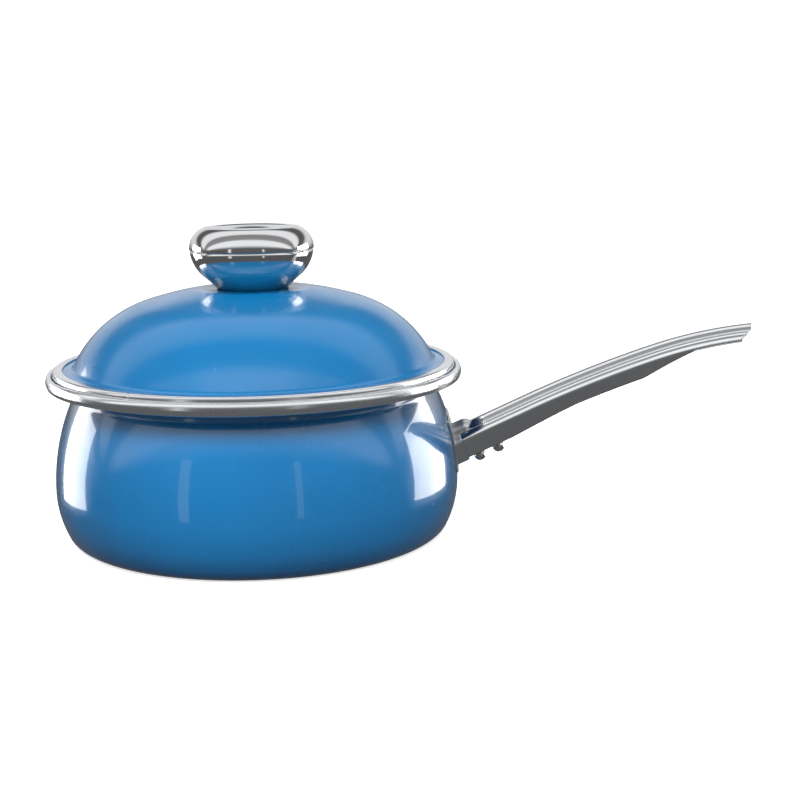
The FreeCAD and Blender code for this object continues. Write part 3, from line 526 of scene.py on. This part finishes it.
def handle_surface():
    """Grid of points: rows go round the section (outside then inside), columns go along the line.

    A row at side y starts at the root, or at the bead's notch where y is within its half width, and
    ends on a circle seen from above: end = length - R + sqrt(R^2 - y^2). Rows below the shoulder
    hang down to the skirt depth at their distance, in equal steps.
    """
    def full(inset):
        right = half_section(inset)
        drops = np.linspace(0, 1, 7)[1:]
        side = np.concatenate([right[:, 0], np.full(len(drops), HALF - inset)])
        rise = np.concatenate([right[:, 1], np.full(len(drops), -SHOULDER_R)])
        share = np.concatenate([np.zeros(len(right)), drops])
        mirror = slice(None, 0, -1)
        return (np.concatenate([-side[mirror], side]), np.concatenate([rise[mirror], rise]),
                np.concatenate([share[mirror], share]))

    out_side, out_rise, out_share = full(0.0)
    in_side, in_rise, in_share = full(GAUGE)
    side = np.concatenate([out_side, in_side[::-1]])
    rise = np.concatenate([out_rise, in_rise[::-1]])
    share = np.concatenate([out_share, in_share[::-1]])
    paired = np.concatenate([out_side, out_side[::-1]])

    notch = BEAD + 0.15
    inside_notch = np.clip(notch ** 2 - paired ** 2, 0, None)
    start = np.where(np.abs(paired) < notch, BEAD_REACH - BEAD + np.sqrt(inside_notch), 0.0)
    end = LENGTH - TIP_ROUND + np.sqrt(np.clip(TIP_ROUND ** 2 - paired ** 2, 0, None))
    steps = np.linspace(0, 1, 190)
    distance = start[:, None] + (end - start)[:, None] * steps[None, :]
    depth = skirt_depth(distance)
    side_grid = np.broadcast_to(side[:, None], distance.shape)
    rise_grid = rise[:, None] - share[:, None] * (depth - SHOULDER_R)
    points = to_frame(distance, side_grid, rise_grid)
    rows, columns = distance.shape
    faces = grid_faces(rows, columns)
    faces = faces[faces[:, 1] % columns != 0]
    half = rows // 2
    k = np.arange(half - 1)
    first = np.column_stack([k, k + 1, rows - 2 - k, rows - 1 - k]) * columns
    last = np.column_stack([k, rows - 1 - k, rows - 2 - k, k + 1]) * columns + columns - 1
    faces = np.vstack([faces[:, ::-1], first[:, ::-1], last[:, ::-1]])
    return points.reshape(-1, 3), faces


handle_points, handle_faces = handle_surface()
floor_corners = np.array([(0.0, -1, -SKIRT_ROOT), (0.0, 1, -SKIRT_ROOT),
                          (0.0, 1, GAUGE - SKIRT_ROOT), (0.0, -1, GAUGE - SKIRT_ROOT)])
floor_x = np.array([0.0, FLOOR_END])[:, None]
floor_side, floor_rise = (HALF - GAUGE / 2) * floor_corners[:, 1], floor_corners[:, 2]
floor_points = to_frame(*np.broadcast_arrays(floor_x, floor_side, floor_rise)).reshape(-1, 3)
floor_faces = np.array([(0, 1, 5, 4), (1, 2, 6, 5), (2, 3, 7, 6), (3, 0, 4, 7), (3, 2, 1, 0),
                        (4, 5, 6, 7)]) + len(handle_points)
handle = put_mesh("handle", np.vstack([handle_points, floor_points]),
                  np.vstack([handle_faces, floor_faces]).tolist(), "pan", "handle_channel")
print("handle has", len(handle.data.polygons), "faces")

# %% [markdown]
# ## Rivets
# Two soft steel rivets hold the handle to its bracket. Their heads hang under the root like small
# balls, each on a short collar. They are turned like the pot, then tipped to the handle's slope
# point by point, so that their objects still sit at the origin.

# %% Rivets and collars
def tipped(points, distance):
    """Carry points turned about their own axis to the handle: x along, y aside, z off the deck."""
    slope = np.radians(SLOPE)
    along = points[:, 0] + distance
    x = ROOT[0] + along * np.cos(slope) - points[:, 2] * np.sin(slope)
    z = ROOT[1] + along * np.sin(slope) + points[:, 2] * np.cos(slope)
    return np.column_stack([x, points[:, 1], z])


def turned_on_handle(name, outline, node, distance):
    """Turn an outline about its own axis and carry the result onto the handle's slope."""
    piece = turned(name, outline, "pan", node, steps=64)
    mesh = piece.data
    flat = np.empty(len(mesh.vertices) * 3, np.float32)
    mesh.vertices.foreach_get("co", flat)
    moved = tipped(flat.reshape(-1, 3).astype(float) * 1000, distance) / 1000
    mesh.vertices.foreach_set("co", moved.astype(np.float32).ravel())
    mesh.update()
    return piece


SHANK, HEAD, HEAD_TALL, COLLAR, COLLAR_TALL = 1.75, 2.85, 4.6, 2.2, 1.5
head_top = -(SKIRT_ROOT + COLLAR_TALL)
grip_top = GAUGE + WALL - SKIRT_ROOT
ball = arc((0.0, head_top - HEAD_TALL + HEAD), HEAD, -90, 38, 22)
rivet_outline = np.vstack([
    [(0.0, ball[0, 1])], ball[1:],
    [(SHANK, head_top), (SHANK, grip_top), (HEAD - 0.4, grip_top), (HEAD - 0.8, grip_top + 1.5),
     (0.0, grip_top + 1.5)],
])
collar_outline = rounded([(SHANK, head_top), (COLLAR, head_top), (COLLAR, -SKIRT_ROOT),
                          (SHANK, -SKIRT_ROOT)], 0.25)
rivets = []
for place, distance in (("rear", 4.8), ("front", 14.3)):
    rivets += [
        turned_on_handle("rivet_head_" + place, rivet_outline, "rivet_" + place, distance),
        turned_on_handle("rivet_ring_" + place, collar_outline, "rivet_collar_" + place, distance),
    ]
print("rivets:", [piece.name for piece in rivets])

# %% [markdown]
# ## Finishes
# Every finish is worked out from the place of a point on the object, so it stays put from any side.
# A short helper wires the nodes, and each material then reads as a list of what it is made of.

# %% A helper for wiring nodes
class Finish:
    """One node material, with a Principled shader ready to be fed."""

    def __init__(self, name, **settings):
        self.material = bpy.data.materials.new(name)
        self.material.use_nodes = True
        self.tree = self.material.node_tree
        self.shader = next(n for n in self.tree.nodes if n.type == "BSDF_PRINCIPLED")
        for socket, value in settings.items():
            self.shader.inputs[socket.replace("_", " ")].default_value = value
        self.place = self.tree.nodes.new("ShaderNodeTexCoord").outputs["Object"]

    def node(self, kind, links=(), **settings):
        """Add a node; settings fill its properties, links fill its inputs by name or number."""
        made = self.tree.nodes.new("ShaderNode" + kind)
        for key, value in settings.items():
            setattr(made, key, value)
        for socket, value in dict(links).items():
            if isinstance(value, bpy.types.NodeSocket):
                self.tree.links.new(value, made.inputs[socket])
            else:
                made.inputs[socket].default_value = value
        return made

    def maths(self, operation, *values):
        return self.node("Math", dict(enumerate(values)), operation=operation).outputs[0]

    def noise(self, scale, detail=2.0, rough=0.5, vector=None):
        """Smooth noise of the place, or of another vector."""
        links = {"Vector": vector or self.place, "Scale": scale, "Detail": detail,
                 "Roughness": rough}
        return self.node("TexNoise", links).outputs["Fac"]

    def between(self, value, low, high, to_low, to_high):
        """Map a value from one range to another, held at the ends."""
        links = {"Value": value, "From Min": low, "From Max": high, "To Min": to_low,
                 "To Max": to_high}
        return self.node("MapRange", links, clamp=True).outputs["Result"]

    def feed(self, socket, value):
        self.tree.links.new(value, self.shader.inputs[socket])

    def bump(self, height, strength, distance):
        made = self.node("Bump", {"Height": height, "Strength": strength, "Distance": distance})
        self.feed("Normal", made.outputs["Normal"])

    def mix(self, share, first, second):
        made = self.node("Mix", {"Factor": share}, data_type="RGBA")
        for number, colour in ((6, first), (7, second)):
            if isinstance(colour, bpy.types.NodeSocket):
                self.tree.links.new(colour, made.inputs[number])
            else:
                made.inputs[number].default_value = (*colour, 1)
        return made.outputs[2]


def wear(pieces, finish):
    """Give each piece this one finish."""
    for piece in pieces:
        piece.data.materials.clear()
        piece.data.materials.append(finish.material)


print("finish helper ready")

# %% [markdown]
# ### Blue enamel
# Vitreous enamel is coloured glass fused to steel. Its colour sits under a clear, very smooth skin,
# so a coat over a softer base is closer than one glossy layer. Fired glass is never quite flat:
# long, slow waves bend the reflections a little, and fine ones break up their edges. On the pot the
# blue is also darkened towards a deeper blue near the base and just under the rim. That is painted
# shade, where the floor and the rim's overhang keep light off. The lid wears a thinner coat and gets
# no painted shade.

# %% The blue enamel
def enamel(name, colour, deep, shade_low_height, shade_high_height, coat):
    """Coloured glass: painted shade darkening it near two heights, slow waves and tiny speckle."""
    finish = Finish(name, Roughness=0.22, IOR=1.42, Coat_Weight=coat, Coat_Roughness=0.03,
                    Coat_IOR=1.52)
    height = finish.node("SeparateXYZ", {"Vector": finish.place}).outputs["Z"]
    cloud = finish.noise(14.0, 3.0)
    shade = finish.between(cloud, 0.3, 0.7, 0.0, 0.22)
    # Painted shade: near the low height (the pot's base) and near the high height (just under its
    # rim) the blue darkens towards the deep colour. The mask called thin carries this painted shade,
    # and share adds it to the random cloud.
    shade_near_base = finish.between(height, shade_low_height, shade_low_height + 0.012, 1.0, 0.0)
    shade_under_rim = finish.between(height, shade_high_height - 0.010, shade_high_height, 0.0, 1.0)
    thin = finish.maths("MAXIMUM", shade_near_base, shade_under_rim)
    share = finish.maths("ADD", shade, finish.maths("MULTIPLY", thin, 0.6))
    body = finish.mix(finish.maths("MINIMUM", share, 1.0), colour, deep)
    speck = finish.between(finish.noise(2600.0, 1.0), 0.70, 0.78, 0.0, 0.25)
    finish.feed("Base Color", finish.mix(speck, body, deep))
    finish.feed("Roughness", finish.between(finish.noise(60.0, 3.0), 0.3, 0.7, 0.18, 0.30))
    slow = finish.noise(22.0, 1.0)
    fine = finish.noise(420.0, 2.0)
    waves = finish.maths("ADD", slow, finish.maths("MULTIPLY", fine, 0.04))
    finish.bump(waves, 0.25, 0.0012)
    return finish


blue, deep_blue = (0.009, 0.195, 0.480), (0.006, 0.045, 0.130)
# The pot's enamel gets painted shade near its base and just under its flange. The lid's two heights
# lie far outside it, so the lid gets none.
pot_enamel = enamel("blue enamel and painted shade on the pot", blue, deep_blue, 0.0, FLANGE_UNDER / 1000, 1.0)
lid_enamel = enamel("blue enamel on the lid", (0.003, 0.163, 0.400), deep_blue, -1.0, 1.0, 0.45)
wear([pot], pot_enamel)
wear([lid], lid_enamel)
print("enamel on", pot.name, "and", lid.name)

# %% [markdown]
# The inside of the pot and of the lid is fired with a pale enamel. It is the same piece of steel,
# so it stays one mesh with a second material slot: every face whose outline row belongs to the inner
# line takes the pale one.

# %% The pale enamel inside
def pale_enamel(name):
    """Cream glass with fine grey flecks and a soft unevenness."""
    finish = Finish(name, Roughness=0.25, IOR=1.5, Coat_Weight=1.0, Coat_Roughness=0.05)
    cloud = finish.between(finish.noise(18.0, 3.0), 0.3, 0.7, 0.0, 0.5)
    body = finish.mix(cloud, (0.80, 0.78, 0.72), (0.72, 0.70, 0.64))
    fleck = finish.between(finish.noise(1500.0, 1.0), 0.68, 0.74, 0.0, 0.55)
    finish.feed("Base Color", finish.mix(fleck, body, (0.22, 0.23, 0.26)))
    finish.feed("Roughness", finish.between(finish.noise(80.0, 2.0), 0.3, 0.7, 0.2, 0.32))
    finish.bump(finish.noise(30.0, 2.0), 0.2, 0.0008)
    return finish


pale = pale_enamel("pale enamel inside")


def line_inside(piece, steps, is_inside):
    """Give the faces of an inner line the second material: face row = face number // steps."""
    piece.data.materials.append(pale.material)
    row = np.arange(len(piece.data.polygons)) // steps
    chosen = is_inside(row)
    piece.data.polygons.foreach_set("material_index", chosen.astype(np.int32))
    piece.data.update()
    return int(chosen.sum())


outer_rows = len(base_row) + len(outside) + 3
bottom_fan = len(pot_outline) - 3
inner_lid_rows = len(lid_outline) // 2 - 1
pot_inner = line_inside(pot, TURNS, lambda row: (row >= outer_rows) & (row != bottom_fan))
lid_inner = line_inside(lid, TURNS, lambda row: row < inner_lid_rows)
print("faces lined:", pot_inner, "in the pot,", lid_inner, "in the lid")

# %% [markdown]
# ### Stainless steel
# Stainless strip is rolled, so its faint lines run along the strip: round the rim, and along the
# handle. Polished pressings keep even fainter turning lines. Streaks come from noise on a stretched
# place: across the lines it changes quickly, along them hardly at all. On the turned pieces the
# distance from the axis and the height replace the place, which makes the lines run round.

# %% Steel that was turned and steel that was rolled
def turned_steel(name, colour, rough_low, rough_high, lines, relief):
    """Bright steel whose lines run round the axis: noise of (radius, 0, height)."""
    finish = Finish(name, Metallic=1.0)
    parts = finish.node("SeparateXYZ", {"Vector": finish.place}).outputs
    x_squared = finish.maths("MULTIPLY", parts["X"], parts["X"])
    y_squared = finish.maths("MULTIPLY", parts["Y"], parts["Y"])
    radius = finish.maths("SQRT", finish.maths("ADD", x_squared, y_squared))
    round_place = finish.node("CombineXYZ", {"X": radius, "Z": parts["Z"]}).outputs["Vector"]
    streak = finish.noise(lines, 3.0, 0.6, vector=round_place)
    smear = finish.noise(35.0, 3.0)
    lined = finish.between(streak, 0.3, 0.7, rough_low, rough_high)
    dulled = finish.between(smear, 0.4, 0.7, 0.0, 0.05)
    finish.feed("Roughness", finish.maths("ADD", lined, dulled))
    worn = finish.between(smear, 0.35, 0.75, 0.0, 0.35)
    finish.feed("Base Color", finish.mix(worn, colour, tuple(0.86 * c for c in colour)))
    finish.bump(streak, relief, 0.00006)
    return finish


def rolled_steel(name, colour):
    """Bright pressed steel whose lines run along the handle: fast across and slow along."""
    finish = Finish(name, Metallic=1.0)
    parts = finish.node("SeparateXYZ", {"Vector": finish.place}).outputs
    slope = float(np.radians(20.0))
    along, across = float(np.cos(slope)), float(np.sin(slope))
    rise = finish.maths("SUBTRACT", finish.maths("MULTIPLY", parts["Z"], along),
                        finish.maths("MULTIPLY", parts["X"], across))
    run = finish.maths("ADD", finish.maths("MULTIPLY", parts["X"], along),
                       finish.maths("MULTIPLY", parts["Z"], across))
    slow_run = finish.maths("MULTIPLY", run, 0.02)
    lined_place = finish.node("CombineXYZ", {"X": slow_run, "Y": parts["Y"], "Z": rise})
    streak = finish.noise(2400.0, 3.0, 0.6, vector=lined_place.outputs["Vector"])
    smear = finish.noise(28.0, 4.0)
    lined = finish.between(streak, 0.3, 0.7, 0.10, 0.20)
    dulled = finish.between(smear, 0.35, 0.7, 0.0, 0.07)
    finish.feed("Roughness", finish.maths("ADD", lined, dulled))
    worn = finish.between(smear, 0.35, 0.75, 0.0, 0.4)
    finish.feed("Base Color", finish.mix(worn, colour, tuple(0.84 * c for c in colour)))
    finish.bump(streak, 0.12, 0.00005)
    return finish


strip_steel = turned_steel("bright rolled strip", (0.90, 0.90, 0.91), 0.16, 0.28, 1800.0, 0.10)
knob_finish = turned_steel("mirror-polished knob", (0.74, 0.73, 0.72), 0.04, 0.08, 2600.0, 0.05)
handle_finish = rolled_steel("bright pressed handle", (0.84, 0.84, 0.84))
bracket_finish = turned_steel("satin bracket", (0.74, 0.74, 0.74), 0.30, 0.42, 1500.0, 0.10)
fixing_finish = turned_steel("plain steel fixings", (0.74, 0.74, 0.74), 0.14, 0.26, 3000.0, 0.10)
wear([rim, lid_ring], strip_steel)
wear([knob_base, knob_cap], knob_finish)
wear([handle], handle_finish)
wear([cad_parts["handle_bracket"]], bracket_finish)
wear(rivets + [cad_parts[n] for n in ("knob_post", "knob_screw", "lid_washer")], fixing_finish)
print("steel finishes:", strip_steel.material.name, "|", knob_finish.material.name)

# %% [markdown]
# ## The studio
# Gloss shows what is around it as much as what it is, so the lights are placed by what each surface
# mirrors. The front wall mirrors the low, dark half of the room, which keeps its blue deep. The
# main light hangs high in front and is kept out of the reflections, as crossed filters would do. Two
# wide panels behind the pan stand where its flanks mirror them. Overhead the room has two soft
# ceiling lights with gaps between them, and a pale backdrop straight behind for the flat tops of the
# rim and the handle's deck. Mirrored in the curved steel, the gaps draw dark lines along the handle.
# The bands run from left to right, so they fade out at the two sides, where they would meet.
# The floor is pale to the eye, but it is kept out of the reflections and throws little light back,
# as a raised glass table would.

# %% Floor and surroundings
floor_mesh = bpy.data.meshes.new("floor")
reach = 6.0
sweep_corners = [(-reach, -reach, 0), (reach, -reach, 0), (reach, reach, 0), (-reach, reach, 0)]
floor_mesh.from_pydata(sweep_corners, [], [(0, 1, 2, 3)])
floor = bpy.data.objects.new("floor", floor_mesh)
bpy.context.collection.objects.link(floor)
floor.visible_glossy = False
sweep = Finish("pale sweep", Roughness=0.9, Specular_IOR_Level=0.0)
paper = sweep.between(sweep.noise(3.0, 2.0), 0.3, 0.7, 0.0, 1.0)
pale_floor = sweep.mix(paper, (0.90, 0.90, 0.90), (0.92, 0.92, 0.92))
seen = sweep.node("LightPath").outputs["Is Camera Ray"]
sweep.feed("Base Color", sweep.mix(seen, (0.20, 0.20, 0.21), pale_floor))
sweep.shader.inputs["Emission Color"].default_value = (1, 1, 1, 1)
sweep.feed("Emission Strength", sweep.maths("MULTIPLY", seen, 0.72))
wear([floor], sweep)

world = bpy.data.worlds.new("studio")
bpy.context.scene.world = world
world.use_nodes = True
room = world.node_tree
room.nodes.clear()


def room_node(kind, links=(), **settings):
    """Add a node to the room; settings fill its properties and links fill its inputs."""
    made = room.nodes.new("ShaderNode" + kind)
    for key, value in settings.items():
        setattr(made, key, value)
    for socket, value in dict(links).items():
        if isinstance(value, bpy.types.NodeSocket):
            room.links.new(value, made.inputs[socket])
        else:
            made.inputs[socket].default_value = value
    return made


def room_range(value, low, high):
    """Share of the way from low to high, held between 0 and 1."""
    links = {"Value": value, "From Min": low, "From Max": high}
    return room_node("MapRange", links).outputs["Result"]


def room_maths(operation, *values):
    return room_node("Math", dict(enumerate(values)), operation=operation).outputs[0]


way = room_node("SeparateXYZ", {"Vector": room_node("TexCoord").outputs["Generated"]}).outputs
upright = room_node("CombineXYZ", {"Y": way["Y"], "Z": way["Z"]}).outputs["Vector"]
arch = room_node("VectorMath", {0: upright}, operation="NORMALIZE").outputs["Vector"]
depth_share = room_node("SeparateXYZ", {"Vector": arch}).outputs["Y"]
bands = room_node("ValToRGB", {"Fac": room_range(depth_share, -1.0, 1.0)})
for number, (depth, level) in enumerate((
        (-0.93, 0.14), (-0.80, 1.15), (-0.50, 1.15), (-0.36, 0.36), (0.05, 0.30), (0.22, 1.10),
        (0.60, 1.10), (0.72, 0.13), (0.88, 0.13), (0.94, 0.85))):
    stops = bands.color_ramp.elements
    stop = stops[number] if number < 2 else stops.new(1.0)
    stop.position, stop.color = (depth + 1) / 2, (level, level, level, 1)
SIDE_LEVEL, FLOOR_LEVEL = 0.25, 0.12
reach_across = room_node("VectorMath", {0: upright}, operation="LENGTH").outputs["Value"]
contrast = room_maths("SUBTRACT", bands.outputs["Color"], SIDE_LEVEL)
softened = room_maths("MULTIPLY_ADD", contrast, room_range(reach_across, 0.08, 0.25), SIDE_LEVEL)
lit_bands = room_maths("MULTIPLY", softened, room_range(way["Z"], -0.10, 0.10))
strength = room_maths("MAXIMUM", lit_bands, FLOOR_LEVEL)
gloss_room = room_node("Background", {"Color": (0.95, 0.97, 1, 1), "Strength": strength})
soft_fill = room_node("Background", {"Color": (1, 1, 1, 1), "Strength": 0.35})
plain_white = room_node("Background", {"Color": (1, 1, 1, 1), "Strength": 1.1})
path = room_node("LightPath").outputs
lit = room_node("MixShader", {0: path["Is Glossy Ray"], 1: soft_fill.outputs[0],
                              2: gloss_room.outputs[0]})
view = room_node("MixShader", {0: path["Is Camera Ray"], 1: lit.outputs[0],
                               2: plain_white.outputs[0]})
room_node("OutputWorld", {"Surface": view.outputs[0]})
bpy.context.scene.view_settings.view_transform = "Standard"
print("floor and room ready")

# %% Soft panels
def soft_panel(name, place, target, width, height, radiance):
    """Rectangular light at a place, facing a target; its power is pi times radiance times area."""
    lamp = bpy.data.lights.new(name, "AREA")
    lamp.shape = "RECTANGLE"
    lamp.size, lamp.size_y = width, height
    lamp.energy = float(np.pi * radiance * width * height)
    holder = bpy.data.objects.new(name, lamp)
    bpy.context.collection.objects.link(holder)
    direction = Vector(target) - Vector(place)
    holder.location = place
    holder.rotation_euler = direction.to_track_quat("-Z", "Y").to_euler()
    return holder


panels = [
    soft_panel("main light", (0.0, -0.95, 1.20), (0, 0, 0.05), 1.4, 0.6, 11.0),
    soft_panel("left panel", (-1.21, 0.62, 0.02), (0, 0, 0.02), 0.70, 0.64, 4.6),
    soft_panel("right panel", (1.22, 0.60, 0.04), (0, 0, 0.02), 0.85, 0.64, 6.0),
    soft_panel("front strip left", (-0.95, -1.35, 0.15), (0, 0, 0.15), 0.17, 0.9, 0.8),
    soft_panel("front strip right", (0.70, -1.40, 0.15), (0, 0, 0.15), 0.10, 0.8, 0.7),
]
panels[0].visible_glossy = False
print("panels:", len(panels))

# %% [markdown]
# ## The camera
# A long lens a little above the rim, aimed almost level, shows the pan as a shop catalogue would:
# mostly from the side, with just enough of the lid's top to read its dome.

# %% Camera
lens = bpy.data.cameras.new("camera")
lens.lens, lens.sensor_width = 67.5, 36.0
lens.clip_start, lens.clip_end = 0.01, 50.0
camera = bpy.data.objects.new("camera", lens)
bpy.context.collection.objects.link(camera)
LOOK_DOWN, ROLL = 10.8, -0.86
camera.matrix_world = (Matrix.Translation((0.0665, -0.684, 0.1907))
                       @ Matrix.Rotation(np.radians(90.0 - LOOK_DOWN), 4, "X")
                       @ Matrix.Rotation(np.radians(ROLL), 4, "Z"))
bpy.context.scene.camera = camera
print("camera", [round(v, 3) for v in camera.location])
